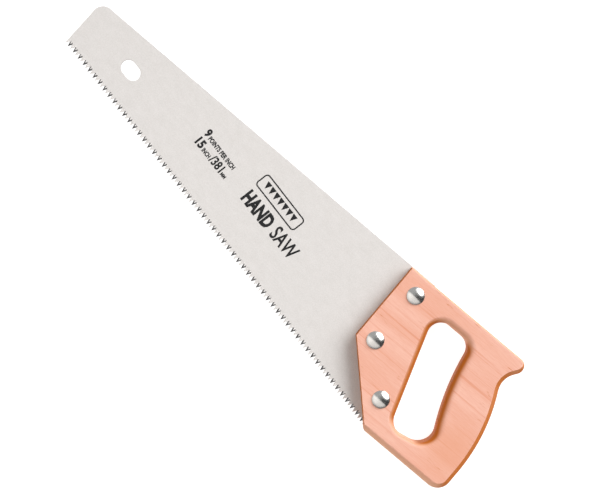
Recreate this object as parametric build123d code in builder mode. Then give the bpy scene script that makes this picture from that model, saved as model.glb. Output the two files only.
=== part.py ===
from build123d import *
from math import atan2, cos, degrees, radians, sin, tan
import os

# A fixed-handle hand saw, lying flat with its domed fastener heads up.
# It is drawn on the bench plane: +X runs along the tooth tips from toe to handle, +Y goes from
# the teeth to the back of the blade and +Z is up. Drawing positions are counted from the first
# tooth tip at the toe. The bench plane then moves them all, so that the model's own origin is
# the bottom centre of the whole saw. Millimetres throughout.

# Blade
tooth_line = 381.0  # a 15 inch row of teeth, first tip to last
tooth_pitch = 3.175  # nine points, which is eight gaps, to the inch
file_angle = 45.0  # the angle between the two walls of a gullet
fleam_angle = 52.0  # how far each gullet is filed off square, one way and then the other
blade_thickness = 0.9
toe_height = 43.0  # the toe's upper corner above the tooth tips
toe_lean = 10.2  # the toe's edge off square, leaning forwards
toe_radius = 9.0
hang_hole_length = 17.7
hang_hole_width = 12.1
hang_hole_x = 49.05
hang_hole_y = 27.75
blade_stands_proud = 1.2  # the blade's back above the handle's top edge at the front

# Handle, drawn from the corner where its front and bottom edges would meet
handle_thickness = 22.0
handle_height = 121.8
handle_length = 130.2  # front edge to the back of the grip
handle_tilt = 12.0  # its top and bottom edges against the tooth line
handle_overlap = 48.4  # that corner, behind the last tooth tip
handle_drop = 12.2  # that corner, below the tooth tips
beak_height = 53.3  # the front edge stops here and runs back at a slant
beak_run = 53.3  # the bottom edge starts here
horn_reach = handle_length - 5.9
neck = (handle_length - 21.8, handle_height - 21.6)  # deepest point of the curve under the horn
back_bulge = (handle_length - 5.0, 61.1)
back_foot = 21.1  # the grip's back is straight below this height
horn_radius = 6.7
neck_radius = 16.5
heel_radius = 11.5
beak_radius = 3.0
edge_radius = 3.0  # the round-over along the top, back and bottom edges

# Hand hole, drawn from the same corner
hole_top = handle_height - 16.0  # the top rail's depth
hole_front_top = (36.8, hole_top)
hole_back_top = (74.5, hole_top)
hole_grip = (82.7, 68.4)  # the grip's swell
hole_back_foot = (104.5, 20.7)
hole_front_foot = (67.5, 13.7)
hole_top_radius = 11.0
hole_foot_radius = 13.6
hole_edge_radius = 3.5

# The slot that takes the blade
kerf_clearance = 0.1  # each side of the blade
heel_land = 6.5  # wood left between the slot and the hand hole
heel_clearance = 0.6  # the slot past the blade's slanting heel
kerf_overrun = 6.2  # the slot past the last tooth tip

# Fasteners: a domed nut with a barrel from above and a slotted screw from below
fastener_places = {
    "upper": (16.0, handle_height - 15.4),
    "middle": (14.2, 59.8),
    "lower": (47.2, 27.2),
}
head_diameter = 14.3  # nine sixteenths of an inch
head_height = 3.2
head_rim = 0.5
barrel_diameter = 6.4
barrel_lift = 4.0  # the barrel's mouth above the screw's seat
screw_head_thickness = 1.5
screw_head_chamfer = 0.3
screw_head_recess = 0.2  # how far the screw's head lies below the cheek
screw_diameter = 4.0
screw_engagement = 9.0
screw_tip_gap = 1.0
screw_slot_turns = {"upper": 25.0, "middle": 110.0, "lower": 70.0}  # as each came to a stop
screw_slot_width = 1.4
screw_slot_depth = 0.8
barrel_clearance = 0.1
thread_clearance = 0.05
head_clearance = 0.2

# Worked out from the above
gullets = round(tooth_line / tooth_pitch)
file_slope = tan(radians(file_angle / 2))
fleam_shift = blade_thickness * tan(radians(fleam_angle))
gullet_depth = (tooth_pitch + fleam_shift) / (2 * file_slope)
handle_middle = handle_thickness / 2
screw_seat = screw_head_recess + screw_head_thickness
barrel_mouth = screw_seat + barrel_lift
dome_rise = head_height - head_rim
dome_radius = (dome_rise ** 2 + (head_diameter / 2) ** 2) / (2 * dome_rise)
far = 2 * tooth_line
square_edges = 3  # the front edge, the beak and the slant, which aren't rounded over


def on_handle(point):
    """A point drawn from the handle's corner, in the blade's drawing positions."""
    turn = radians(handle_tilt)
    x, y = point
    return (tooth_line - handle_overlap + x * cos(turn) - y * sin(turn),
            -handle_drop + x * sin(turn) + y * cos(turn))


def direction(start, end):
    """The angle in degrees of the line from start to end."""
    return degrees(atan2(end[1] - start[1], end[0] - start[0]))


def crossing(first, first_angle, second, second_angle):
    """Where two lines cross, each given by a point and an angle."""
    ax, ay = cos(radians(first_angle)), sin(radians(first_angle))
    bx, by = cos(radians(second_angle)), sin(radians(second_angle))
    along = ((second[0] - first[0]) * by - (second[1] - first[1]) * bx) / (ax * by - ay * bx)
    return (first[0] + along * ax, first[1] + along * ay)


def beside_hole(distance):
    """A point this far in front of the hand hole's front side, and that side's angle."""
    top, foot = on_handle(hole_front_top), on_handle(hole_front_foot)
    angle = direction(foot, top)
    square = radians(angle + 90)
    return (foot[0] + distance * cos(square), foot[1] + distance * sin(square)), angle


def nearest(corners, point):
    """The corner of a sketch that stands at this point."""
    return corners.sort_by(lambda corner: (corner.center() - Vector(*point)).length)[0]


# The blade's corners
toe_corner = (-toe_height * tan(radians(toe_lean)), toe_height)
back_front = on_handle((0, handle_height + blade_stands_proud))
back_angle = direction(toe_corner, back_front)
heel_foot, heel_angle = beside_hole(heel_land + heel_clearance)
heel_top = crossing(heel_foot, heel_angle, toe_corner, back_angle)
heel_shoulder = crossing(heel_foot, heel_angle, (tooth_line, 0), 90)
slot_foot, slot_angle = beside_hole(heel_land)
slot_shoulder = crossing(slot_foot, slot_angle, (tooth_line + kerf_overrun, 0), 90)


def blade_outline(plane):
    """The blade's flat shape, without its teeth."""
    with BuildSketch(plane) as outline:
        with BuildLine():
            Polyline((0, 0), (tooth_line, 0), heel_shoulder, heel_top, toe_corner, close=True)
        make_face()
        fillet(nearest(outline.vertices(), toe_corner), toe_radius)
        with Locations((hang_hole_x, hang_hole_y)):
            SlotOverall(hang_hole_length, hang_hole_width, mode=Mode.SUBTRACT)
        with Locations(*[on_handle(place) for place in fastener_places.values()]):
            Circle(barrel_diameter / 2 + barrel_clearance, mode=Mode.SUBTRACT)
    return outline.sketch


def handle_outline(plane):
    """The handle's flat shape, without its hand hole."""
    back_low = (handle_length, back_foot)
    corners = {
        (0, beak_height): beak_radius,
        (horn_reach, handle_height): horn_radius,
        neck: neck_radius,
        (handle_length, 0): heel_radius,
    }
    with BuildSketch(plane) as outline:
        with BuildLine():
            Polyline(neck, (horn_reach, handle_height), (0, handle_height), (0, beak_height),
                     (beak_run, 0), (handle_length, 0), back_low)
            ThreePointArc(back_low, back_bulge, neck)
        make_face()
        for corner, radius in corners.items():
            fillet(nearest(outline.vertices(), corner), radius)
    return outline.sketch


def hand_hole_outline(plane):
    """The opening for the fingers."""
    corners = {
        hole_front_top: hole_top_radius,
        hole_back_top: hole_top_radius,
        hole_back_foot: hole_foot_radius,
        hole_front_foot: hole_foot_radius,
    }
    with BuildSketch(plane) as outline:
        with BuildLine():
            Polyline(hole_back_foot, hole_front_foot, hole_front_top, hole_back_top)
            ThreePointArc(hole_back_top, hole_grip, hole_back_foot)
        make_face()
        for corner, radius in corners.items():
            fillet(nearest(outline.vertices(), corner), radius)
    return outline.sketch


def handle_plane(bench):
    """The handle's own drawing plane, on the bench."""
    turn = radians(handle_tilt)
    origin = bench.from_local_coords(Vector(*on_handle((0, 0))))
    return Plane(origin=origin, x_dir=(cos(turn), sin(turn), 0), z_dir=(0, 0, 1))


# The bench plane puts the origin at the bottom centre of the whole saw.
outlines = Compound(children=[blade_outline(Plane.XY), handle_outline(handle_plane(Plane.XY))])
extent = outlines.bounding_box()
bench = Plane((-extent.center().X, -extent.center().Y, 0))
grip_plane = handle_plane(bench)
fastener_positions = [on_handle(place) for place in fastener_places.values()]

os.makedirs("parts", exist_ok=True)

# Blade: a plate with crosscut teeth. Each gullet is cut aslant, one to the right and the next to
# the left, so that every second tooth has its bevels on the same face.
with BuildPart() as blade:
    with BuildSketch(bench.offset(handle_middle - blade_thickness / 2)):
        add(blade_outline(Plane.XY))
    extrude(amount=blade_thickness)
    gap_foot = -tooth_pitch / 2  # the gaps are drawn past the tooth tips
    gap_half_width = (gullet_depth - gap_foot) * file_slope
    for first, lean in ((0, 1), (1, -1)):
        row = range(first, gullets, 2)
        middle = (row[0] + row[-1] + 1) / 2 * tooth_pitch
        with BuildSketch(bench.offset(handle_middle)) as gaps:
            with Locations((middle, 0)):
                with GridLocations(2 * tooth_pitch, 1, len(row), 1):
                    Polygon((-gap_half_width, gap_foot), (0, gullet_depth),
                            (gap_half_width, gap_foot), align=None)
        slant = (lean * tan(radians(fleam_angle)), 0, 1)
        extrude(gaps.sketch, amount=blade_thickness, dir=slant, both=True, mode=Mode.SUBTRACT)
blade.part.label = "blade"
export_step(blade.part, "parts/blade.step")

# Handle: one board with a hand hole, rounded edges, a slot for the blade and fastener holes.
# Its front edge, its beak and the slant below stay square.
with BuildPart() as handle:
    with BuildSketch(grip_plane):
        add(handle_outline(Plane.XY))
    extrude(amount=handle_thickness)
    outer_edges = handle.faces().filter_by(Axis.Z).edges()
    rear_edges = outer_edges.group_by(Axis(grip_plane.origin, grip_plane.x_dir))[square_edges:]
    fillet([edge for group in rear_edges for edge in group], edge_radius)
    with BuildSketch(grip_plane):
        add(hand_hole_outline(Plane.XY))
    extrude(amount=handle_thickness, mode=Mode.SUBTRACT)
    cheeks = handle.faces().filter_by(Axis.Z)
    fillet([edge for cheek in cheeks for wire in cheek.inner_wires() for edge in wire.edges()],
           hole_edge_radius)
    with BuildSketch(bench.offset(handle_middle)):
        with BuildLine():
            slot_end = (tooth_line + kerf_overrun, -far)
            slot_top = crossing(slot_foot, slot_angle, (0, far), 0)
            Polyline(slot_end, slot_shoulder, slot_top, (-far, far), (-far, -far), close=True)
        make_face()
    extrude(amount=blade_thickness / 2 + kerf_clearance, both=True, mode=Mode.SUBTRACT)
    with BuildSketch(bench):
        with Locations(*fastener_positions):
            Circle(barrel_diameter / 2 + barrel_clearance)
    extrude(amount=handle_thickness, mode=Mode.SUBTRACT)
    with BuildSketch(bench):
        with Locations(*fastener_positions):
            Circle(head_diameter / 2 + head_clearance)
    extrude(amount=screw_seat, mode=Mode.SUBTRACT)
handle.part.label = "handle"
export_step(handle.part, "parts/handle.step")

for place, position in zip(fastener_places, fastener_positions):
    foot = bench.from_local_coords(Vector(*position))
    spin_axis = Axis(foot, (0, 0, 1))
    upright = Plane(foot, x_dir=(1, 0, 0), z_dir=(0, -1, 0))

    # Domed nut: a head that sits on the upper cheek, and a barrel with a blind bore
    with BuildPart() as nut:
        head_radius = head_diameter / 2
        barrel_radius = barrel_diameter / 2
        bore_radius = screw_diameter / 2 + thread_clearance
        bore_top = barrel_mouth + screw_engagement + screw_tip_gap
        rim_top = handle_thickness + head_rim
        dome_top = handle_thickness + head_height
        with BuildSketch(upright):
            with BuildLine():
                dome = RadiusArc((0, dome_top), (head_radius, rim_top), -dome_radius)
                Polyline(dome @ 1, (head_radius, handle_thickness),
                         (barrel_radius, handle_thickness), (barrel_radius, barrel_mouth),
                         (bore_radius, barrel_mouth), (bore_radius, bore_top), (0, bore_top),
                         dome @ 0)
            make_face()
        revolve(axis=spin_axis)
    nut.part.label = f"{place}_nut"
    export_step(nut.part, f"parts/{place}_nut.step")

    # Slotted screw: a flat head let into the lower cheek, and a shank that fills the nut's bore
    with BuildPart() as screw:
        with BuildSketch(bench.offset(screw_head_recess)):
            with Locations(position):
                Circle(head_diameter / 2)
        extrude(amount=screw_head_thickness)
        chamfer(screw.edges().group_by(Axis.Z)[0], screw_head_chamfer)
        with BuildSketch(bench.offset(screw_seat)):
            with Locations(position):
                Circle(screw_diameter / 2)
        extrude(amount=barrel_lift + screw_engagement)
        with BuildSketch(bench.offset(screw_head_recess)):
            with Locations(Location((*position, 0), screw_slot_turns[place])):
                Rectangle(2 * head_diameter, screw_slot_width)
        extrude(amount=screw_slot_depth, mode=Mode.SUBTRACT)
    screw.part.label = f"{place}_screw"
    export_step(screw.part, f"parts/{place}_screw.step")
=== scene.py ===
import math

import bmesh
import bpy
from mathutils import Matrix, Vector


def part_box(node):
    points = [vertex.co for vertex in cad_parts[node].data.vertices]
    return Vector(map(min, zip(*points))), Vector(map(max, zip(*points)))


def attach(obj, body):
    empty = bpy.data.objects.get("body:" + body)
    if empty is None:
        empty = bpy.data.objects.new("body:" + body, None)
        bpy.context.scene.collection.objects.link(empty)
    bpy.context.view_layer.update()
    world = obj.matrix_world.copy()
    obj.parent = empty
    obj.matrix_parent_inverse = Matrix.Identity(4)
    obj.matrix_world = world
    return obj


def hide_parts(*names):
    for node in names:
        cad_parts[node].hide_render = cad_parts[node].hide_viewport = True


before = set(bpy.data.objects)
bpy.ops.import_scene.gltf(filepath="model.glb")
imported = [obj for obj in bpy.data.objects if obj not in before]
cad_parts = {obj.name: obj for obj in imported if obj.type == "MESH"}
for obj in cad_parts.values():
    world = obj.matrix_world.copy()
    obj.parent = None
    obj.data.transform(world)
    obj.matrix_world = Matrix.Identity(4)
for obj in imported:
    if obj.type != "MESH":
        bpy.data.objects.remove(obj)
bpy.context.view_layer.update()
scene = bpy.context.scene
mm = 0.001  # sizes below are in millimetres, Blender's are in metres
print("frame: loaded", len(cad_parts), "CAD nodes")

# Where the saw is drawn from: its first tooth tip at the toe, and its handle's front bottom corner
saw = {
    "toothLine": 381.0,  # first tooth tip to last
    "handleTilt": 12.0,  # handle's top and bottom edges against the tooth line
    "handleOverlap": 48.4,  # handle's corner behind the last tooth tip
    "handleDrop": 12.2,  # and below it
}
bladeLow, bladeHigh = [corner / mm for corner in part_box("blade")]
handleLow, handleHigh = [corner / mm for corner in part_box("handle")]
firstTip = Vector((bladeHigh.x - saw["toothLine"], bladeLow.y))
tilt = math.radians(saw["handleTilt"])


def onSaw(x, y):
    return firstTip + Vector((x, y))


def onHandle(x, y):
    corner = onSaw(saw["toothLine"] - saw["handleOverlap"], -saw["handleDrop"])
    turned = (x * math.cos(tilt) - y * math.sin(tilt), x * math.sin(tilt) + y * math.cos(tilt))
    return corner + Vector(turned)


# An outline is straight sides and arcs with rounded corners. A side is its start, its end and its
# arc's centre, or None where it is straight
sharpCorner = 1e-6  # outward directions that differ by more than this make a sharp corner
parallel = 1e-9  # sides whose cross product is under this don't cross
solvingRounds = 12  # more than a corner's circle ever needs


def centreOf(a, b, c):
    # centre of the circle through three points
    u, v = b - a, c - a
    double = 2 * (u.x * v.y - u.y * v.x)
    across = Vector((v.y * u.dot(u) - u.y * v.dot(v), u.x * v.dot(v) - v.x * u.dot(u)))
    return a + across / double


def besideSide(side, point):
    # how far a point stands off a side, and the direction in which that grows
    start, end, centre = side
    if centre is None:
        along = (end - start).normalized()
        square = Vector((-along.y, along.x))
        return (point - start).dot(square), square
    reach = point - centre
    return reach.length - (start - centre).length, reach.normalized()


def travelAt(side, point):
    # direction of travel along a side
    start, end, centre = side
    along = (end - start).normalized()
    if centre is None:
        return along
    turned = Vector((centre.y - point.y, point.x - centre.x)).normalized()
    return turned if turned.dot(along) > 0 else -turned


def cornerCircle(before, after, corner, radius):
    # the circle that touches both sides at a corner: its centre and where it touches them
    centre = corner + (travelAt(after, corner) - travelAt(before, corner)).normalized() * radius
    signs = [math.copysign(1, besideSide(side, centre)[0]) for side in (before, after)]
    for step in range(solvingRounds):
        found = [besideSide(side, centre) for side in (before, after)]
        slopes = [away * sign for (distance, away), sign in zip(found, signs)]
        misses = [radius - distance * sign for (distance, away), sign in zip(found, signs)]
        centre = centre + Matrix(slopes).inverted() @ Vector(misses)
    return centre, centre - slopes[0] * radius, centre - slopes[1] * radius


def arcPoints(centre, start, end, turnStep):
    # points round an arc, both ends included
    a, b = start - centre, end - centre
    turn = math.atan2(a.x * b.y - a.y * b.x, a.dot(b))
    count = max(2, math.ceil(abs(turn) / math.radians(turnStep)))
    return [centre + Matrix.Rotation(turn * i / count, 2) @ a for i in range(count + 1)]


def outlineOf(corners, turnStep=6.0, bendStep=2.0):
    # Corners run anticlockwise: (point, radius, roll of the side that follows, a point which that
    # side's arc passes through or None). Each point made is (place, outward directions of the sides
    # before and after, rolls of the sides before and after)
    sides = []
    for (start, radius, roll, through), (end, *rest) in zip(corners, corners[1:] + corners[:1]):
        sides.append((start, end, None if through is None else centreOf(start, through, end)))
    ends = []
    for index, (corner, radius, roll, through) in enumerate(corners):
        before, after = sides[index - 1], sides[index]
        if radius:
            ends.append(cornerCircle(before, after, corner, radius))
        else:
            ends.append((None, corner, corner))
    points = []
    for index, (corner, radius, roll, through) in enumerate(corners):
        before, after = sides[index - 1], sides[index]
        rollBefore = corners[index - 1][2]
        centre, touch, leave = ends[index]
        if centre is None:
            outs = [Vector((t.y, -t.x)) for t in (travelAt(before, corner), travelAt(after, corner))]
            points.append((corner, outs, (rollBefore, roll)))
        else:
            around = arcPoints(centre, touch, leave, turnStep)
            first, last = travelAt(before, touch), travelAt(after, leave)
            for step, point in enumerate(around):
                share = step / (len(around) - 1)
                along = first.lerp(last, share)
                square = (point - centre).normalized()
                out = square if square.dot(Vector((along.y, -along.x))) > 0 else -square
                eased = share * share * (3 - 2 * share)
                blended = tuple(a + (b - a) * eased for a, b in zip(rollBefore, roll))
                points.append((point, (out, out), (blended, blended)))
        if after[2] is not None:
            nextTouch = ends[(index + 1) % len(corners)][1]
            for point in arcPoints(after[2], leave, nextTouch, bendStep)[1:-1]:
                along = travelAt(after, point)
                out = Vector((along.y, -along.x))
                points.append((point, (out, out), (roll, roll)))
    return points


def insetPlace(outline, index, insets):
    # an outline's point moved inwards by one amount for each of its two sides
    place, (outBefore, outAfter), rolls = outline[index]
    if (outBefore - outAfter).length < sharpCorner:
        return place - outBefore * insets[0]
    return place - Matrix((outBefore, outAfter)).inverted() @ Vector(insets)


def ringOf(bm, places, height):
    return [bm.verts.new((x * mm, y * mm, height * mm)) for x, y in places]


def circlePlaces(centre, radius, count):
    turns = [2 * math.pi * i / count for i in range(count)]
    return [centre + Vector((math.cos(t), math.sin(t))) * radius for t in turns]


def bridge(bm, first, second, closed=True, skip=()):
    # a band of faces between two rings, one of which may be a single point
    count = max(len(first), len(second))
    for i in range(count if closed else count - 1):
        if i in skip:
            continue
        j = (i + 1) % count
        lower = [first[i % len(first)], first[j % len(first)]]
        upper = [second[j % len(second)], second[i % len(second)]]
        bm.faces.new(list(dict.fromkeys(lower + upper)))


def fillBetween(bm, loops):
    # flat faces inside the first loop, around the others
    edges = []
    for loop in loops:
        for a, b in zip(loop, loop[1:] + loop[:1]):
            edges.append(bm.edges.get((a, b)) or bm.edges.new((a, b)))
    bmesh.ops.triangle_fill(bm, use_beauty=True, edges=edges, normal=(0, 0, 1))


def pieceFrom(bm, name, creaseAngle=35.0, outward=True):
    if outward:
        bmesh.ops.recalc_face_normals(bm, faces=bm.faces)
    mesh = bpy.data.meshes.new(name)
    bm.to_mesh(mesh)
    bm.free()
    mesh.polygons.foreach_set("use_smooth", [True] * len(mesh.polygons))
    mesh.set_sharp_from_angle(angle=math.radians(creaseAngle))
    piece = bpy.data.objects.new(name, mesh)
    scene.collection.objects.link(piece)
    return piece


def plainMesh(piece):
    # what the modifiers give, as a mesh without them
    depsgraph = bpy.context.evaluated_depsgraph_get()
    mesh = bpy.data.meshes.new_from_object(
        piece.evaluated_get(depsgraph), preserve_all_data_layers=True, depsgraph=depsgraph)
    piece.modifiers.clear()
    piece.data = mesh
    mesh.name = piece.name
    return piece


def paint(red, green, blue):
    # a colour picker's 0 to 255 as Blender's linear colour
    def linear(value):
        share = value / 255
        return share / 12.92 if share <= 0.04045 else ((share + 0.055) / 1.055) ** 2.4
    return (linear(red), linear(green), linear(blue), 1.0)


def newMaterial(name):
    material = bpy.data.materials.new(name)
    material.use_nodes = True
    tree = material.node_tree
    tree.nodes.clear()
    shader = tree.nodes.new("ShaderNodeBsdfPrincipled")
    output = tree.nodes.new("ShaderNodeOutputMaterial")
    tree.links.new(shader.outputs["BSDF"], output.inputs["Surface"])
    return material, tree, shader


def addNode(tree, kind, settings=None, **inputs):
    # a node with its settings, and its inputs by name, or by number as in _0. Each input is a
    # value or another node's socket
    node = tree.nodes.new(kind)
    for setting, value in (settings or {}).items():
        setattr(node, setting, value)
    for label, value in inputs.items():
        socket = node.inputs[int(label[1:]) if label[1:].isdigit() else label.replace("_", " ")]
        if isinstance(value, bpy.types.NodeSocket):
            tree.links.new(value, socket)
        else:
            socket.default_value = value
    return node


def placedPattern(tree, size, centre=(0, 0, 0), turn=0.0):
    # Object coordinates measured in a pattern's own size, in millimetres
    coordinates = addNode(tree, "ShaderNodeTexCoord")
    mapping = addNode(
        tree, "ShaderNodeMapping", {"vector_type": "TEXTURE"}, Vector=coordinates.outputs["Object"],
        Location=[c * mm for c in centre], Rotation=(0, 0, turn), Scale=[s * mm for s in size])
    return mapping.outputs["Vector"]


def noise(tree, size, detail=2.0, roughness=0.5, distortion=0.0, **place):
    node = addNode(
        tree, "ShaderNodeTexNoise", Vector=placedPattern(tree, size, **place),
        Scale=1.0, Detail=detail, Roughness=roughness, Distortion=distortion)
    return node.outputs["Fac"]


def ranged(tree, value, fromLow, fromHigh, toLow=0.0, toHigh=1.0):
    node = addNode(
        tree, "ShaderNodeMapRange", {"interpolation_type": "SMOOTHSTEP"}, Value=value,
        From_Min=fromLow, From_Max=fromHigh, To_Min=toLow, To_Max=toHigh)
    return node.outputs["Result"]


def mixed(tree, share, first, second):
    node = addNode(tree, "ShaderNodeMix", {"data_type": "RGBA"}, _0=share, _6=first, _7=second)
    return node.outputs[2]


def worked(tree, first, second, operation="MULTIPLY"):
    return addNode(tree, "ShaderNodeMath", {"operation": operation}, _0=first, _1=second).outputs[0]


def bumped(tree, height, distance, strength):
    return addNode(
        tree, "ShaderNodeBump", Height=height, Distance=distance * mm, Strength=strength).outputs["Normal"]


def newTree(name, sizes):
    # a tree with its named inputs: (name, socket type, value)
    tree = bpy.data.node_groups.new(name, "GeometryNodeTree")
    tree.interface.new_socket("Geometry", in_out="INPUT", socket_type="NodeSocketGeometry")
    for label, kind, value in sizes:
        socket = tree.interface.new_socket(label, in_out="INPUT", socket_type="NodeSocket" + kind)
        if value is not None and kind not in ("Object", "Material"):
            socket.default_value = value
    tree.interface.new_socket("Geometry", in_out="OUTPUT", socket_type="NodeSocketGeometry")
    entry = tree.nodes.new("NodeGroupInput")
    outlet = tree.nodes.new("NodeGroupOutput")
    return tree, entry, outlet


def useTree(piece, tree, sizes):
    # sets the inputs by their sockets' identifiers, before anything is evaluated
    modifier = piece.modifiers.new(tree.name, "NODES")
    modifier.node_group = tree
    inputs = [item for item in tree.interface.items_tree if item.in_out == "INPUT"]
    identifiers = {item.name: item.identifier for item in inputs}
    for label, kind, value in sizes:
        modifier[identifiers[label]] = value
    return plainMesh(piece)


blade = {
    "toothPitch": 3.175,  # nine points to the inch
    "fileAngle": 45.0,  # between a gullet's two walls
    "fleamAngle": 52.0,  # how far a gullet is filed off square
    "toothSet": 0.2,  # tips bent out, one way and then the other
    "toeHeight": 43.0,
    "toeLean": 10.2,
    "toeRadius": 9.0,
    "hangHoleLength": 17.7,
    "hangHoleWidth": 12.1,
    "hangHolePlace": (49.05, 27.75),
    "backAboveHandle": 1.2,
    "heelGap": 7.1,  # the heel's edge in front of the hand hole
    "boltHoleRadius": 3.3,
    "edgeBreak": 0.3,  # the plate's edges are broken by this much
    "circleSteps": 48,
    "mergeGap": 0.002,  # teeth and plate are joined where they are this near
}
# the fasteners' places in the handle's own frame
bolts = {
    "upper": (16.0, 106.4),
    "middle": (14.2, 59.8),
    "lower": (47.2, 27.2),
}
boltPlaces = [onHandle(*place) for place in bolts.values()]
bladeMiddle = (bladeLow.z + bladeHigh.z) / 2
bladeThickness = bladeHigh.z - bladeLow.z


def besideHandHole(distance):
    # a line this far in front of the hand hole's front side: a point on it and its direction
    foot, top = onHandle(*handle["holeFrontFoot"]), onHandle(*handle["holeFrontTop"])
    along = (top - foot).normalized()
    return foot + Vector((-along.y, along.x)) * distance, along


def crossingOf(a, alongA, b, alongB):
    # where two lines cross
    double = alongA.x * alongB.y - alongA.y * alongB.x
    return a + alongA * (((b - a).x * alongB.y - (b - a).y * alongB.x) / double)


gulletSlope = math.tan(math.radians(blade["fileAngle"] / 2))
fleamShift = bladeThickness * math.tan(math.radians(blade["fleamAngle"]))
gulletDepth = (blade["toothPitch"] + fleamShift) / (2 * gulletSlope)
gulletCount = round(saw["toothLine"] / blade["toothPitch"])


def gulletFoot(index, side):
    # where a gullet is deepest, on the upper face (side 1) or the lower (side -1)
    lean = 1 if index % 2 == 0 else -1
    return Vector(((index + 0.5) * blade["toothPitch"] + lean * side * fleamShift / 2, gulletDepth))


def makeTooth():
    # one tooth that points to the lower face; turned over, it points to the upper
    bm = bmesh.new()
    ground = bm.faces.layers.bool.new("ground")
    wide = (blade["toothPitch"] + fleamShift) / 2
    narrow = (blade["toothPitch"] - fleamShift) / 2
    shortTip = gulletDepth - narrow / gulletSlope
    under = [(-wide, gulletDepth, -1), (0, 0, -1), (wide, gulletDepth, -1)]
    over = [(-narrow, gulletDepth, 1), (0, shortTip, 1), (narrow, gulletDepth, 1)]
    points = []
    for x, y, side in under + over:
        height = side * bladeThickness / 2 - blade["toothSet"] * (1 - y / gulletDepth)
        points.append(bm.verts.new((x * mm, y * mm, height * mm)))
    low, high = points[:3], points[3:]
    bm.faces.new(low)
    bm.faces.new(high[::-1])
    for first, second in ((0, 1), (1, 2)):
        facet = bm.faces.new((low[first], high[first], high[second], low[second]))
        facet[ground] = True
    bmesh.ops.recalc_face_normals(bm, faces=bm.faces)
    middle = sum((v.co for v in points), Vector()) / len(points)
    if bm.faces[0].normal.dot(bm.faces[0].calc_center_median() - middle) < 0:
        bmesh.ops.reverse_faces(bm, faces=bm.faces)
    return pieceFrom(bm, "toothPattern", outward=False)


def makePlate():
    # the blade without its whole teeth, open along its toothed edge
    bm = bmesh.new()
    ground = bm.faces.layers.bool.new("ground")
    toeSlope = math.tan(math.radians(blade["toeLean"]))
    toe = onSaw(-blade["toeHeight"] * toeSlope, blade["toeHeight"])
    backAlong = (onHandle(0, handle["height"] + blade["backAboveHandle"]) - toe).normalized()
    heel, heelAlong = besideHandHole(blade["heelGap"])
    heelTop = crossingOf(heel, heelAlong, toe, backAlong)
    shoulder = crossingOf(heel, heelAlong, onSaw(saw["toothLine"], 0), Vector((0, 1)))
    sharp = (0.0, 0.0)
    corners = [
        (onSaw(0, 0), 0, sharp, None),
        (onSaw(saw["toothLine"], 0), 0, sharp, None),
        (shoulder, 0, sharp, None),
        (heelTop, 0, sharp, None),
        (toe, blade["toeRadius"], sharp, None),
    ]
    outline = outlineOf(corners, turnStep=4.0)
    chain = outline[1:] + outline[:1]  # from the last tooth round to the first
    half = bladeThickness / 2
    # the half teeth at both ends, cut by the plate's own ends
    shortTip = gulletDepth - (blade["toothPitch"] - fleamShift) / 2 / gulletSlope
    startShort = (fleamShift / (gulletSlope + toeSlope)) * Vector((-toeSlope, 1))
    tips = {1: (onSaw(0, 0), onSaw(saw["toothLine"], 0)),
            -1: (onSaw(*startShort), onSaw(saw["toothLine"], shortTip))}
    rings = {}
    for side in (-1, 1):
        broken, flat = bladeMiddle + side * (half - blade["edgeBreak"]), bladeMiddle + side * half
        inner = [insetPlace(chain, i, (blade["edgeBreak"],) * 2) for i in range(1, len(chain) - 1)]
        start, end = ringOf(bm, tips[side], flat)  # the edge isn't broken at the teeth
        rings[side, "edge"] = [end] + ringOf(bm, [p[0] for p in chain[1:-1]], broken) + [start]
        rings[side, "face"] = [end] + ringOf(bm, inner, flat) + [start]
        feet = [onSaw(*gulletFoot(index, side)) for index in range(gulletCount)]
        rings[side, "feet"] = ringOf(bm, feet, flat)
    bridge(bm, rings[-1, "edge"], rings[1, "edge"], closed=False)
    slotEnds = []
    halfTurn = blade["circleSteps"] // 2
    x, y = blade["hangHolePlace"]
    reach = (blade["hangHoleLength"] - blade["hangHoleWidth"]) / 2
    for centre, start in ((onSaw(x + reach, y), -90), (onSaw(x - reach, y), 90)):
        slotEnds += [(centre, math.radians(start + 180 / halfTurn * i)) for i in range(halfTurn + 1)]
    for side in (-1, 1):
        bridge(bm, rings[side, "edge"], rings[side, "face"], closed=False)
        around = []
        for growth, sink in ((0, blade["edgeBreak"]), (blade["edgeBreak"], 0)):
            radius = blade["hangHoleWidth"] / 2 + growth
            places = [centre + Vector((math.cos(t), math.sin(t))) * radius for centre, t in slotEnds]
            around.append(ringOf(bm, places, bladeMiddle + side * (half - sink)))
        bridge(bm, around[0], around[1])
        holes = [around[1]]
        rings[side, "hang"] = around[0]
        rings[side, "bolts"] = []
        for centre in boltPlaces:
            ring = ringOf(bm, circlePlaces(centre, blade["boltHoleRadius"], blade["circleSteps"]),
                          bladeMiddle + side * half)
            rings[side, "bolts"].append(ring)
            holes.append(ring)
        loop = rings[side, "face"] + rings[side, "feet"]
        fillBetween(bm, [loop] + holes)
    bridge(bm, rings[-1, "hang"], rings[1, "hang"])
    for low, high in zip(rings[-1, "bolts"], rings[1, "bolts"]):
        bridge(bm, low, high)
    for end, foot in ((-1, 0), (0, -1)):  # bevels of the two half teeth
        lower = [rings[-1, "face"][end], rings[-1, "feet"][foot]]
        upper = [rings[1, "feet"][foot], rings[1, "face"][end]]
        bm.faces.new(lower + upper)[ground] = True
    return pieceFrom(bm, "sawBlade")


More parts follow.
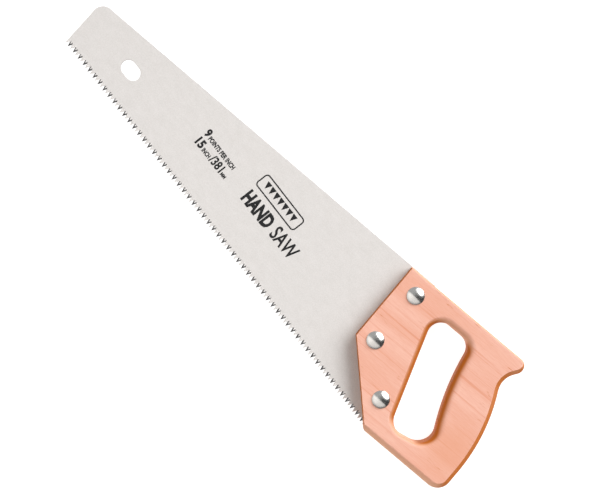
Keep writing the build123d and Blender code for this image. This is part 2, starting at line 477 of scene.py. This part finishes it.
def makeBlade(steel, groundSteel):
    # the teeth follow the pitch; every second one is turned over
    tooth = makeTooth()
    secondTip = (onSaw(blade["toothPitch"], 0) * mm).to_3d() + Vector((0, 0, bladeMiddle * mm))
    sizes = [
        ("Tooth", "Object", tooth),
        ("Tooth Count", "Int", gulletCount - 1),
        ("Pitch", "Float", blade["toothPitch"] * mm),
        ("First Tooth", "Vector", secondTip),  # the half tooth before it is the plate's
        ("Steel", "Material", steel),
        ("Ground Steel", "Material", groundSteel),
    ]
    tree, entry, outlet = newTree("toothRow", sizes)
    wanted = entry.outputs
    step = addNode(tree, "ShaderNodeCombineXYZ", X=wanted["Pitch"])
    line = addNode(tree, "GeometryNodeMeshLine", Count=wanted["Tooth Count"],
                   Start_Location=wanted["First Tooth"], Offset=step.outputs[0])
    index = addNode(tree, "GeometryNodeInputIndex")
    odd = addNode(tree, "ShaderNodeMath", {"operation": "MODULO"}, _0=index.outputs[0], _1=2.0)
    turnOver = worked(tree, odd.outputs[0], math.pi)
    turn = addNode(tree, "ShaderNodeCombineXYZ", Y=turnOver)
    source = addNode(tree, "GeometryNodeObjectInfo", Object=wanted["Tooth"])
    row = addNode(tree, "GeometryNodeInstanceOnPoints", Points=line.outputs[0],
                  Instance=source.outputs["Geometry"], Rotation=turn.outputs[0])
    real = addNode(tree, "GeometryNodeRealizeInstances", Geometry=row.outputs[0])
    joined = addNode(tree, "GeometryNodeJoinGeometry")
    tree.links.new(real.outputs[0], joined.inputs[0])
    tree.links.new(wanted["Geometry"], joined.inputs[0])
    merged = addNode(tree, "GeometryNodeMergeByDistance", Geometry=joined.outputs[0],
                     Distance=blade["mergeGap"] * mm)
    allSteel = addNode(tree, "GeometryNodeSetMaterial", Geometry=merged.outputs[0],
                       Material=wanted["Steel"])
    isGround = addNode(tree, "GeometryNodeInputNamedAttribute", {"data_type": "BOOLEAN"}, Name="ground")
    done = addNode(tree, "GeometryNodeSetMaterial", Geometry=allSteel.outputs[0],
                   Selection=isGround.outputs[0], Material=wanted["Ground Steel"])
    tree.links.new(done.outputs[0], outlet.inputs[0])
    piece = useTree(makePlate(), tree, sizes)
    bpy.data.objects.remove(tooth)
    return piece


handle = {
    "height": 121.8,
    "length": 130.2,
    "beak": 53.3,  # the front edge ends this high and the bottom edge starts this far back
    "beakRadius": 3.0,
    "hornReach": 124.3,
    "hornRadius": 6.7,
    "neck": (108.4, 100.2),
    "neckRadius": 16.5,
    "backBulge": (125.2, 61.1),
    "backFoot": 21.1,
    "heelRadius": 11.5,
    "holeFrontTop": (36.8, 105.8),
    "holeBackTop": (74.5, 105.8),
    "holeGrip": (82.7, 68.4),
    "holeBackFoot": (104.5, 20.7),
    "holeFrontFoot": (67.5, 13.7),
    "holeTopRadius": 11.0,
    "holeFootRadius": 13.6,
    # how far each edge is rolled over, and how flat: 0 is round and 1 is a chamfer
    "topRoll": (1.7, 0.0),
    "frontRoll": (0.5, 0.0),
    "bottomRoll": (4.5, 0.75),
    "backRoll": (3.6, 0.95),
    "holeFrontRoll": (4.6, 0.6),
    "holeBottomRoll": (2.6, 0.0),
    "holeGripRoll": (6.8, 0.0),
    "holeTopRoll": (5.0, 0.3),
    "rollSteps": 8,
    "kerfWidth": 1.1,
    "kerfEnd": 387.2,  # the kerf's end past the last tooth tip, from the first
    "kerfLand": 6.5,  # wood between the kerf and the hand hole
    "seatRadius": 7.35,
    "seatDepth": 1.7,
    "land": 0.5,  # a narrow flat ring that keeps the rolled edge's shading off the cheek
}


def rollShares(steps):
    # from the wall (0) to the cheek (1): round share inwards and down, then the chamfer's
    shares = []
    for step in range(steps + 1):
        turn = math.pi / 2 * step / steps
        shares.append((1 - math.cos(turn), 1 - math.sin(turn), step / steps))
    return shares


def rollRing(bm, outline, share, cheek, inwards, land=0.0):
    # One ring of a rolled edge. cheek is the upper cheek's height, or -1 at the lower cheek, which
    # is at 0. inwards is 1, or -1 where the wood is outside the outline
    roundIn, roundDown, straight = share
    upper = cheek > 0
    verts = []
    for index, (place, outs, rolls) in enumerate(outline):
        insets = [inwards * (roll * (roundIn + (straight - roundIn) * flat) + land) for roll, flat in rolls]
        roll, flat = max(rolls)
        down = roll * (roundDown + (1 - straight - roundDown) * flat)
        x, y = insetPlace(outline, index, insets)
        height = cheek - down if upper else down
        verts.append(bm.verts.new((x * mm, y * mm, height * mm)))
    return verts


def addCrossing(outline, start, end):
    # puts a point on the outline where the line from start to end crosses it, and returns its
    # place in the list
    for index in range(len(outline)):
        place, outs, rolls = outline[index]
        nextPlace, nextOuts, nextRolls = outline[(index + 1) % len(outline)]
        along, across = nextPlace - place, end - start
        double = along.x * across.y - along.y * across.x
        if abs(double) < parallel:
            continue
        gap = start - place
        share = (gap.x * across.y - gap.y * across.x) / double
        reach = (gap.x * along.y - gap.y * along.x) / double
        if 0 < share < 1 and 0 < reach < 1:
            added = (place + along * share, (outs[1], nextOuts[0]), (rolls[1], nextRolls[0]))
            outline.insert(index + 1, added)
            return index + 1
    raise ValueError("the kerf's end misses the handle's outline")


def handleOutline():
    h = handle
    corners = [
        (onHandle(0, h["height"]), 0, h["frontRoll"], None),
        (onHandle(0, h["beak"]), h["beakRadius"], h["frontRoll"], None),
        (onHandle(h["beak"], 0), 0, h["bottomRoll"], None),
        (onHandle(h["length"], 0), h["heelRadius"], h["backRoll"], None),
        (onHandle(h["length"], h["backFoot"]), 0, h["backRoll"], onHandle(*h["backBulge"])),
        (onHandle(*h["neck"]), h["neckRadius"], h["backRoll"], None),
        (onHandle(h["hornReach"], h["height"]), h["hornRadius"], h["topRoll"], None),
    ]
    return outlineOf(corners)


def handHoleOutline():
    h = handle
    corners = [
        (onHandle(*h["holeFrontTop"]), h["holeTopRadius"], h["holeFrontRoll"], None),
        (onHandle(*h["holeFrontFoot"]), h["holeFootRadius"], h["holeBottomRoll"], None),
        (onHandle(*h["holeBackFoot"]), h["holeFootRadius"], h["holeGripRoll"], onHandle(*h["holeGrip"])),
        (onHandle(*h["holeBackTop"]), h["holeTopRadius"], h["holeTopRoll"], None),
    ]
    return outlineOf(corners)


def makeHandle(wood):
    bm = bmesh.new()
    thickness = handleHigh.z - handleLow.z
    kerfFloor = bladeMiddle - handle["kerfWidth"] / 2
    kerfRoof = bladeMiddle + handle["kerfWidth"] / 2
    land = handle["land"]
    outline, hole = handleOutline(), handHoleOutline()
    # the kerf runs from where its slanted end leaves the top edge to where it leaves the bottom edge
    foot, along = besideHandHole(handle["kerfLand"])
    endAt = onSaw(handle["kerfEnd"], 0)
    shoulder = crossingOf(foot, along, endAt, Vector((0, 1)))
    top = addCrossing(outline, shoulder, shoulder + along * handle["length"])
    outline = outline[top:] + outline[:top]
    last = addCrossing(outline, shoulder, shoulder - Vector((0, handle["height"])))
    shares = rollShares(handle["rollSteps"])
    rings = [rollRing(bm, outline, shares[-1], -1, 1, land)]
    rings += [rollRing(bm, outline, share, -1, 1) for share in reversed(shares)]
    floorRing = ringOf(bm, [p[0] for p in outline], kerfFloor)
    roofRing = ringOf(bm, [p[0] for p in outline], kerfRoof)
    rings += [floorRing, roofRing]
    rings += [rollRing(bm, outline, share, thickness, 1) for share in shares]
    rings.append(rollRing(bm, outline, shares[-1], thickness, 1, land))
    for lower, upper in zip(rings, rings[1:]):
        bridge(bm, lower, upper, skip=range(last) if lower is floorRing else ())
    holeRings = [rollRing(bm, hole, shares[-1], -1, -1, land)]
    holeRings += [rollRing(bm, hole, share, -1, -1) for share in reversed(shares)]
    holeRings += [rollRing(bm, hole, share, thickness, -1) for share in shares]
    holeRings.append(rollRing(bm, hole, shares[-1], thickness, -1, land))
    for lower, upper in zip(holeRings, holeRings[1:]):
        bridge(bm, lower, upper)
    # the holes for the fasteners, with a seat for each screw's head in the lower cheek
    loops = {"top": [], "roof": [], "floor": [], "bottom": []}
    for centre in boltPlaces:
        narrow = circlePlaces(centre, blade["boltHoleRadius"], blade["circleSteps"])
        wide = circlePlaces(centre, handle["seatRadius"], blade["circleSteps"])
        upperWall = [ringOf(bm, narrow, height) for height in (thickness, kerfRoof)]
        bridge(bm, *upperWall)
        loops["top"].append(upperWall[0])
        loops["roof"].append(upperWall[1])
        lowerWall = [ringOf(bm, narrow, kerfFloor), ringOf(bm, narrow, handle["seatDepth"]),
                     ringOf(bm, wide, handle["seatDepth"]), ringOf(bm, wide, 0)]
        for first, second in zip(lowerWall, lowerWall[1:]):
            bridge(bm, first, second)
        loops["floor"].append(lowerWall[0])
        loops["bottom"].append(lowerWall[-1])
    fillBetween(bm, [rings[0], holeRings[0]] + loops["bottom"])
    fillBetween(bm, [rings[-1], holeRings[-1]] + loops["top"])
    # the kerf's two faces and its end
    ends = [ringOf(bm, [shoulder], height)[0] for height in (kerfFloor, kerfRoof)]
    fillBetween(bm, [floorRing[:last + 1] + [ends[0]]] + loops["floor"])
    fillBetween(bm, [roofRing[:last + 1] + [ends[1]]] + loops["roof"])
    lower, upper = [[ring[last], end, ring[0]] for ring, end in zip((floorRing, roofRing), ends)]
    bridge(bm, lower, upper, closed=False)
    piece = pieceFrom(bm, "woodHandle")
    piece.data.materials.append(wood)
    return piece


# barrel, bore and screw heights are from the lower cheek, and the dome's is from the upper
fastener = {
    "headRadius": 7.15,
    "headHeight": 3.2,
    "rim": 0.5,
    "rimRoll": 0.2,
    "barrelRadius": 3.2,
    "barrelFoot": 5.7,
    "boreRadius": 2.05,
    "boreTop": 15.7,
    "screwFoot": 0.2,
    "screwHead": 1.5,
    "screwChamfer": 0.3,
    "screwRadius": 2.0,
    "screwTip": 14.7,
    "slotWidth": 1.4,
    "slotDepth": 0.8,
    "slotTurns": (25.0, 110.0, 70.0),  # as each came to a stop
    "domeSteps": 10,
    "roundSteps": 64,
}


def lathed(name, profile, steps, creaseAngle=35.0):
    # a profile of (radius, height) turned about the upright axis
    bm = bmesh.new()
    rings = []
    for radius, height in profile:
        places = circlePlaces(Vector((0, 0)), radius, steps) if radius else [Vector((0, 0))]
        rings.append(ringOf(bm, places, height))
    for first, second in zip(rings, rings[1:]):
        bridge(bm, first, second)
    return pieceFrom(bm, name, creaseAngle)


def makeNutPattern():
    f = fastener
    cheek = handleHigh.z
    rise = f["headHeight"] - f["rim"]
    domeRadius = (rise ** 2 + f["headRadius"] ** 2) / (2 * rise)
    fullTurn = math.asin((f["headRadius"] - f["rimRoll"]) / domeRadius)
    profile = []
    for step in range(f["domeSteps"] + 1):
        turn = fullTurn * step / f["domeSteps"]
        drop = domeRadius * (1 - math.cos(turn))
        profile.append((domeRadius * math.sin(turn), cheek + f["headHeight"] - drop))
    edgeHeight = profile[-1][1]
    # the rim's roll is two short slopes, then the rim, the sleeve and its bore
    profile += [
        (f["headRadius"] - f["rimRoll"] * 0.3, edgeHeight - f["rimRoll"] * 0.6),
        (f["headRadius"], edgeHeight - f["rimRoll"] * 1.4),
        (f["headRadius"], cheek),
        (f["barrelRadius"], cheek),
        (f["barrelRadius"], f["barrelFoot"]),
        (f["boreRadius"], f["barrelFoot"]),
        (f["boreRadius"], f["boreTop"]),
        (0, f["boreTop"]),
    ]
    return lathed("nutPattern", profile, f["roundSteps"])


def makeScrewPattern():
    f = fastener
    seat = f["screwFoot"] + f["screwHead"]
    profile = [
        (0, f["screwFoot"]),
        (f["headRadius"] - f["screwChamfer"], f["screwFoot"]),
        (f["headRadius"], f["screwFoot"] + f["screwChamfer"]),
        (f["headRadius"], seat),
        (f["screwRadius"], seat),
        (f["screwRadius"], f["screwTip"]),
        (0, f["screwTip"]),
    ]
    screw = lathed("screwPattern", profile, f["roundSteps"])
    # the driver slot
    bm = bmesh.new()
    bmesh.ops.create_cube(bm, size=1.0)
    size = (4 * f["headRadius"] * mm, f["slotWidth"] * mm, 2 * f["slotDepth"] * mm)
    bmesh.ops.scale(bm, vec=size, verts=bm.verts)
    bmesh.ops.translate(bm, vec=(0, 0, f["screwFoot"] * mm), verts=bm.verts)
    cutter = pieceFrom(bm, "slotCutter")
    cut = screw.modifiers.new("driverSlot", "BOOLEAN")
    cut.operation = "DIFFERENCE"
    cut.solver = "EXACT"
    cut.object = cutter
    plainMesh(screw)
    screw.data.set_sharp_from_angle(angle=math.radians(35))
    bpy.data.objects.remove(cutter)
    return screw


def makeFasteners(name, pattern, nodes, turns, finish):
    # a copy of the pattern on each fastener's own place in the frame
    host = bpy.data.meshes.new(name)
    centres = []
    for node in nodes:
        low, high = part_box(node)
        centres.append(((low.x + high.x) / 2, (low.y + high.y) / 2, 0))
    host.from_pydata(centres, [], [])
    turnValues = host.attributes.new("turn", "FLOAT", "POINT").data
    turnValues.foreach_set("value", [math.radians(t) for t in turns])
    piece = bpy.data.objects.new(name, host)
    scene.collection.objects.link(piece)
    sizes = [("Pattern", "Object", pattern), ("Finish", "Material", finish)]
    tree, entry, outlet = newTree(name, sizes)
    turn = addNode(tree, "GeometryNodeInputNamedAttribute", {"data_type": "FLOAT"}, Name="turn")
    about = addNode(tree, "ShaderNodeCombineXYZ", Z=turn.outputs[0])
    source = addNode(tree, "GeometryNodeObjectInfo", Object=entry.outputs["Pattern"])
    row = addNode(tree, "GeometryNodeInstanceOnPoints", Points=entry.outputs["Geometry"],
                  Instance=source.outputs["Geometry"], Rotation=about.outputs[0])
    real = addNode(tree, "GeometryNodeRealizeInstances", Geometry=row.outputs[0])
    done = addNode(tree, "GeometryNodeSetMaterial", Geometry=real.outputs[0],
                   Material=entry.outputs["Finish"])
    tree.links.new(done.outputs[0], outlet.inputs[0])
    useTree(piece, tree, sizes)
    bpy.data.objects.remove(pattern)
    return piece


printed = {
    "lift": 0.03,  # the ink's thickness on the steel
    "sunk": 0.01,  # and how far it reaches into it
    "frame": (179.2, 50.0, 227.5, 63.5),  # left, bottom, right, top, from the first tooth tip
    "frameLine": 1.1,
    "frameRadius": 3.2,
    "zigzag": (184.5, 53.6, 222.2, 59.9),
    "zigzagTeeth": 7,
    "zigzagFill": 0.94,  # a tooth's width as a share of its step
    # words with their left, bottom, right and top, and how much heavier than plain
    "words": [
        ("9", 123.6, 41.9, 127.9, 49.5, 0.05),
        ("POINTS PER INCH", 129.0, 42.1, 160.0, 46.3, 0.045),
        ("15", 124.2, 32.3, 131.6, 40.0, 0.05),
        ("INCH", 132.8, 32.6, 141.2, 36.6, 0.045),
        ("/381", 142.0, 32.2, 155.4, 40.0, 0.03),
        ("MM", 156.6, 32.6, 161.6, 35.7, 0.045),
        ("HAND", 181.4, 33.6, 213.0, 46.0, 0.05),
        ("SAW", 217.6, 33.6, 243.6, 46.0, 0.02),
    ],
}


def flatPiece(name, outlineCurve, left, bottom, right, top):
    # a flat curve or text as a thin mesh, stretched into its box on the blade
    maker = bpy.data.objects.new(name, outlineCurve)
    scene.collection.objects.link(maker)
    depsgraph = bpy.context.evaluated_depsgraph_get()
    mesh = bpy.data.meshes.new_from_object(maker.evaluated_get(depsgraph))
    bpy.data.objects.remove(maker)
    bm = bmesh.new()
    bm.from_mesh(mesh)
    xs, ys = [v.co.x for v in bm.verts], [v.co.y for v in bm.verts]
    low, high = onSaw(left, bottom), onSaw(right, top)
    for v in bm.verts:
        x = low.x + (v.co.x - min(xs)) / (max(xs) - min(xs)) * (high.x - low.x)
        y = low.y + (v.co.y - min(ys)) / (max(ys) - min(ys)) * (high.y - low.y)
        z = bladeHigh.z + (printed["lift"] if v.co.z > 0 else -printed["sunk"])
        v.co = (x * mm, y * mm, z * mm)
    bmesh.ops.remove_doubles(bm, verts=bm.verts, dist=0.001 * mm)
    bm.to_mesh(mesh)
    bm.free()
    return mesh


def makePrint(ink):
    meshes = []
    for text, left, bottom, right, top, weight in printed["words"]:
        curve = bpy.data.curves.new("word", "FONT")
        curve.body = text
        curve.size = 1.0  # flatPiece stretches it and sets its thickness
        curve.offset = weight
        curve.extrude = 0.01
        curve.resolution_u = 3
        meshes.append(flatPiece("word", curve, left, bottom, right, top))
    bm = bmesh.new()
    for mesh in meshes:
        bm.from_mesh(mesh)
    # a plain rounded frame round a row of teeth
    left, bottom, right, top = printed["frame"]
    low, high = bladeHigh.z - printed["sunk"], bladeHigh.z + printed["lift"]
    loops = []
    for inset in (0, printed["frameLine"]):
        radius = printed["frameRadius"] - inset
        corners = [(left + inset, top - inset), (left + inset, bottom + inset),
                   (right - inset, bottom + inset), (right - inset, top - inset)]
        outline = outlineOf([(onSaw(x, y), radius, (0, 0), None) for x, y in corners], turnStep=10.0)
        loops.append([p[0] for p in outline])
    rings = [[ringOf(bm, places, height) for places in loops] for height in (low, high)]
    bridge(bm, *rings[0])
    bridge(bm, *rings[1])
    for first, second in zip(*rings):
        bridge(bm, first, second)
    left, bottom, right, top = printed["zigzag"]
    step = (right - left) / printed["zigzagTeeth"]
    for index in range(printed["zigzagTeeth"]):
        x = left + index * step
        corners = [onSaw(x, top), onSaw(x + step / 2, bottom), onSaw(x + step * printed["zigzagFill"], top)]
        slab = [ringOf(bm, corners, height) for height in (low, high)]
        bridge(bm, *slab)
        for ring in slab:
            bm.faces.new(ring)
    piece = pieceFrom(bm, "bladePrint")
    piece.data.materials.append(ink)
    return piece


# pattern sizes are in millimetres, along the grain or the blade first
steelLook = {
    "light": paint(229, 226, 224),
    "dark": paint(219, 216, 213),
    "roughness": 0.72,
    "metal": 0.5,
    "brushed": 0.75,  # along the blade, so its shine spreads across it
    "speckle": 0.7,  # size of the fine grain
    "patch": (9, 6, 6),
    "brushing": (9, 0.35, 2),
}
filedLook = {
    "dark": paint(78, 78, 80),
    "light": paint(120, 118, 116),
    "roughness": 0.32,
    "mark": (0.12, 0.5, 0.12),
}
woodLook = {
    "light": paint(248, 197, 178),
    "warm": paint(242, 184, 162),
    "line": paint(226, 146, 114),
    "fleck": paint(206, 118, 66),
    "held": paint(234, 164, 132),
    "heldPlace": (114, 32),  # in the handle's own frame
    "heldReach": 34.0,
    # end grain's darker lacquered colour, darkened further as painted shade
    "endGrainAndShade": paint(188, 104, 32),
    "edge": paint(232, 176, 142),  # painted shade on the rolled-over edges and walls, darker as they turn from the cheek
    "roughness": 0.5,
    "shine": 0.15,
    "broad": (130, 14, 26),
    "streak": (190, 2.6, 12),
    "fibre": (7, 0.45, 0.8),
    "dash": (7, 1.0, 2),
    "cluster": (20, 6, 10),  # where the dashes stand together
    "streakShare": 0.55,  # how strongly each colour shows
    "fibreShare": 0.34,
    "fleckShare": 0.75,
    "heldShare": 0.6,
    "rolledShadeShare": 0.8,
}
plateLook = {
    "dark": paint(226, 226, 223),
    "light": paint(236, 235, 232),
    "roughness": (0.19, 0.24),
    "haze": (1.2, 1.2, 1.2),
}
inkLook = {
    "dark": paint(22, 23, 25),
    "worn": paint(58, 58, 58),
    "roughness": 0.6,
    "shine": 0.25,
    "wear": (0.5, 0.5, 0.5),
}


def makeSteel():
    look = steelLook
    material, tree, shader = newMaterial("satinSteel")
    grain = noise(tree, (look["speckle"],) * 3, detail=3, roughness=0.6)
    patches = noise(tree, look["patch"], detail=3)
    brushing = noise(tree, look["brushing"], detail=3)
    tone = worked(tree, worked(tree, grain, 0.75), worked(tree, patches, 0.25), "ADD")
    colour = mixed(tree, ranged(tree, tone, 0.3, 0.7), look["dark"], look["light"])
    tree.links.new(colour, shader.inputs["Base Color"])
    shader.inputs["Metallic"].default_value = look["metal"]
    shader.inputs["Anisotropic"].default_value = look["brushed"]
    tree.links.new(addNode(tree, "ShaderNodeCombineXYZ", Y=1.0).outputs[0], shader.inputs["Tangent"])
    tree.links.new(ranged(tree, brushing, 0.3, 0.7, look["roughness"] - 0.04, look["roughness"] + 0.04),
                   shader.inputs["Roughness"])
    height = worked(tree, grain, worked(tree, brushing, 0.5), "ADD")
    tree.links.new(bumped(tree, height, 0.02, 0.25), shader.inputs["Normal"])
    return material


def makeGroundSteel():
    # the filed bevels: darker, with fine file marks
    look = filedLook
    material, tree, shader = newMaterial("filedSteel")
    marks = noise(tree, look["mark"], detail=2)
    colour = mixed(tree, ranged(tree, marks, 0.35, 0.65), look["dark"], look["light"])
    tree.links.new(colour, shader.inputs["Base Color"])
    shader.inputs["Metallic"].default_value = 1.0
    shader.inputs["Roughness"].default_value = look["roughness"]
    tree.links.new(bumped(tree, marks, 0.01, 0.4), shader.inputs["Normal"])
    return material


def makeWood():
    look = woodLook
    material, tree, shader = newMaterial("lacqueredBeech")
    place = {"centre": (*onHandle(0, 0), 0), "turn": tilt}
    broad = noise(tree, look["broad"], detail=3, distortion=0.4, **place)
    colour = mixed(tree, ranged(tree, broad, 0.35, 0.65), look["warm"], look["light"])
    streaks = noise(tree, look["streak"], detail=2, roughness=0.55, distortion=0.25, **place)
    streakShare = ranged(tree, streaks, 0.58, 0.74, 0.0, look["streakShare"])
    colour = mixed(tree, streakShare, colour, look["line"])
    fibre = noise(tree, look["fibre"], detail=4, roughness=0.65, **place)
    colour = mixed(tree, ranged(tree, fibre, 0.3, 0.72, 0.0, look["fibreShare"]), colour, look["line"])
    dashes = noise(tree, look["dash"], detail=3, **place)
    clusters = noise(tree, look["cluster"], detail=1, **place)
    gathered = ranged(tree, clusters, 0.60, 0.72, 0.0, look["fleckShare"])
    fleck = worked(tree, ranged(tree, dashes, 0.54, 0.72), gathered)
    colour = mixed(tree, fleck, colour, look["fleck"])
    # the hand has darkened the grip's low back
    heldMiddle = (*onHandle(*look["heldPlace"]), handleHigh.z)
    held = addNode(tree, "ShaderNodeTexGradient", {"gradient_type": "SPHERICAL"},
                   Vector=placedPattern(tree, (look["heldReach"],) * 3, centre=heldMiddle))
    heldShare = ranged(tree, held.outputs["Fac"], 0.0, 0.9, 0.0, look["heldShare"])
    colour = mixed(tree, heldShare, colour, look["held"])
    # across the grain's ends the wood drinks more lacquer and darkens; that colour is made darker still as
    # painted shade on the walls that face along the grain
    coordinates = addNode(tree, "ShaderNodeTexCoord")
    along = addNode(tree, "ShaderNodeVectorMath", {"operation": "DOT_PRODUCT"},
                    _0=coordinates.outputs["Normal"], _1=(math.cos(tilt), math.sin(tilt), 0))
    upright = addNode(tree, "ShaderNodeSeparateXYZ", Vector=coordinates.outputs["Normal"]).outputs["Z"]
    lying = worked(tree, upright, upright)
    # painted shade: the further a surface turns from the cheek, the more of the darker rolled-edge colour
    # it takes
    colour = mixed(tree, ranged(tree, lying, 0.98, 0.5, 0.0, look["rolledShadeShare"]), colour, look["edge"])
    endOn = worked(tree, along.outputs["Value"], along.outputs["Value"])
    colour = mixed(tree, ranged(tree, endOn, -0.03, 0.52), colour, look["endGrainAndShade"])
    tree.links.new(colour, shader.inputs["Base Color"])
    tree.links.new(ranged(tree, fibre, 0.3, 0.7, look["roughness"] - 0.05, look["roughness"] + 0.08),
                   shader.inputs["Roughness"])
    shader.inputs["Specular IOR Level"].default_value = look["shine"]
    tree.links.new(bumped(tree, fibre, 0.03, 0.35), shader.inputs["Normal"])
    return material


def makeChrome():
    look = plateLook
    material, tree, shader = newMaterial("brightPlate")
    haze = noise(tree, look["haze"], detail=3)
    colour = mixed(tree, haze, look["dark"], look["light"])
    tree.links.new(colour, shader.inputs["Base Color"])
    shader.inputs["Metallic"].default_value = 1.0
    tree.links.new(ranged(tree, haze, 0.3, 0.7, *look["roughness"]), shader.inputs["Roughness"])
    return material


def makeInk():
    look = inkLook
    material, tree, shader = newMaterial("etchInk")
    wear = noise(tree, look["wear"], detail=3)
    colour = mixed(tree, ranged(tree, wear, 0.4, 0.75), look["dark"], look["worn"])
    tree.links.new(colour, shader.inputs["Base Color"])
    shader.inputs["Roughness"].default_value = look["roughness"]
    shader.inputs["Specular IOR Level"].default_value = look["shine"]
    return material


# every piece rides on the saw's one body, and all but the print stand for CAD nodes
steel, groundSteel = makeSteel(), makeGroundSteel()
sawBlade = makeBlade(steel, groundSteel)
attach(sawBlade, "root")
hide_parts("blade")
print("blade:", gulletCount, "gullets,", len(sawBlade.data.polygons), "faces")

woodHandle = makeHandle(makeWood())
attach(woodHandle, "root")
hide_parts("handle")
print("handle:", len(woodHandle.data.polygons), "faces")

chrome = makeChrome()
nutNodes = [place + "_nut" for place in bolts]
screwNodes = [place + "_screw" for place in bolts]
unturned = (0.0,) * len(bolts)
domedNuts = makeFasteners("domedNuts", makeNutPattern(), nutNodes, unturned, chrome)
slottedScrews = makeFasteners(
    "slottedScrews", makeScrewPattern(), screwNodes, fastener["slotTurns"], chrome)
for piece, nodes in ((domedNuts, nutNodes), (slottedScrews, screwNodes)):
    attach(piece, "root")
    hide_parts(*nodes)
print("fasteners:", len(domedNuts.data.polygons) + len(slottedScrews.data.polygons), "faces")

bladePrint = makePrint(makeInk())
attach(bladePrint, "root")
print("print:", len(bladePrint.data.polygons), "faces")

studio = {
    "floorHalf": 8.0,  # metres
    "floorColour": (0.4, 0.4, 0.4, 1.0),
    "floorGlow": 0.9,
    "softboxFrom": (0.03, 0.84, 0.54),
    "softboxSquash": 0.65,  # the softbox is wider than it is tall
    "softboxInner": 8.0,  # degrees from its middle to where it starts to fade
    "softboxOuter": 26.0,
    "softboxStrength": 7.0,
    "cardFrom": (0.16, -0.99, 0.0),  # the pale card over the teeth's side
    "cardStrength": 0.80,
    "cardWarmth": (1.0, 0.96, 0.93, 1.0),
    "cardEdge": (0.15, 0.18),
    "cardRise": (0.05, 0.6),  # it fades in from the floor upwards
    "roomAcross": (0.5, -0.7),
    "roomStrength": (0.05, 0.42),  # behind the handle and beyond the toe
    "roomSeen": 0.95,  # seen straight on, the room is plain and pale
    "viewMiddle": (242.55, 46.04),  # the view's middle, from the first tooth tip
    "viewWidth": 472.5,
    "viewUp": (-0.789, 0.614),
    "cameraHeight": 950.0,  # above the blade
    "sensorWidth": 36.0,
    "nearest": 0.1,  # metres
}


def makeFloor():
    bm = bmesh.new()
    bmesh.ops.create_grid(bm, x_segments=2, y_segments=2, size=studio["floorHalf"])
    floor = pieceFrom(bm, "paleFloor", outward=False)
    material, tree, shader = newMaterial("palePaper")
    shader.inputs["Base Color"].default_value = studio["floorColour"]
    shader.inputs["Roughness"].default_value = 0.9
    shader.inputs["Specular IOR Level"].default_value = 0.1
    shader.inputs["Emission Color"].default_value = (1.0, 1.0, 1.0, 1.0)
    shader.inputs["Emission Strength"].default_value = studio["floorGlow"]
    floor.data.materials.append(material)


def makeSky():
    # a softbox on one side, a large pale card over the other and dark room between them
    world = bpy.data.worlds.new("studioRoom")
    world.use_nodes = True
    tree = world.node_tree
    tree.nodes.clear()
    looking = addNode(tree, "ShaderNodeTexCoord").outputs["Generated"]
    squash = Vector((studio["softboxSquash"], 1, 1))
    aim = (Vector(studio["softboxFrom"]) * squash).normalized()
    squashed = addNode(tree, "ShaderNodeVectorMath", {"operation": "MULTIPLY"}, _0=looking, _1=squash)
    unit = addNode(tree, "ShaderNodeVectorMath", {"operation": "NORMALIZE"}, _0=squashed.outputs[0])
    towards = addNode(
        tree, "ShaderNodeVectorMath", {"operation": "DOT_PRODUCT"}, _0=unit.outputs[0], _1=aim)
    outer, inner = [math.cos(math.radians(studio[key])) for key in ("softboxOuter", "softboxInner")]
    softbox = ranged(tree, towards.outputs["Value"], outer, inner, 0.0, studio["softboxStrength"])
    split = addNode(tree, "ShaderNodeSeparateXYZ", Vector=looking)
    facing = addNode(
        tree, "ShaderNodeVectorMath", {"operation": "DOT_PRODUCT"}, _0=looking, _1=studio["cardFrom"])
    cardShare = ranged(tree, facing.outputs["Value"], *studio["cardEdge"])
    rising = ranged(tree, split.outputs["Z"], *studio["cardRise"], 0.0, studio["cardStrength"])
    card = worked(tree, cardShare, rising)
    room = ranged(tree, split.outputs["X"], *studio["roomAcross"], *studio["roomStrength"])
    total = worked(tree, worked(tree, softbox, card, "ADD"), room, "ADD")
    colour = mixed(tree, cardShare, (1.0, 1.0, 1.0, 1.0), studio["cardWarmth"])
    path = addNode(tree, "ShaderNodeLightPath")
    plain = addNode(tree, "ShaderNodeMix", {"data_type": "FLOAT"},
                    _0=path.outputs["Is Camera Ray"], _2=total, _3=studio["roomSeen"])
    background = addNode(tree, "ShaderNodeBackground", Color=colour, Strength=plain.outputs[0])
    output = addNode(tree, "ShaderNodeOutputWorld")
    tree.links.new(background.outputs[0], output.inputs["Surface"])
    scene.world = world


def makeCamera():
    camera = bpy.data.cameras.new("camera")
    distance = studio["cameraHeight"] * mm
    camera.sensor_width = studio["sensorWidth"]
    camera.lens = camera.sensor_width * studio["cameraHeight"] / studio["viewWidth"]
    camera.clip_start, camera.clip_end = studio["nearest"], 4 * distance
    holder = bpy.data.objects.new("camera", camera)
    scene.collection.objects.link(holder)
    x, y = onSaw(*studio["viewMiddle"])
    up = Vector((*studio["viewUp"], 0)).normalized()
    back = Vector((0, 0, 1))
    holder.matrix_world = Matrix.Translation((x * mm, y * mm, bladeHigh.z * mm + distance)) @ Matrix(
        (up.cross(back), up, back)).transposed().to_4x4()
    scene.camera = holder


makeFloor()
makeSky()
makeCamera()
scene.view_settings.view_transform = "Standard"
print("stage: floor, light and camera")
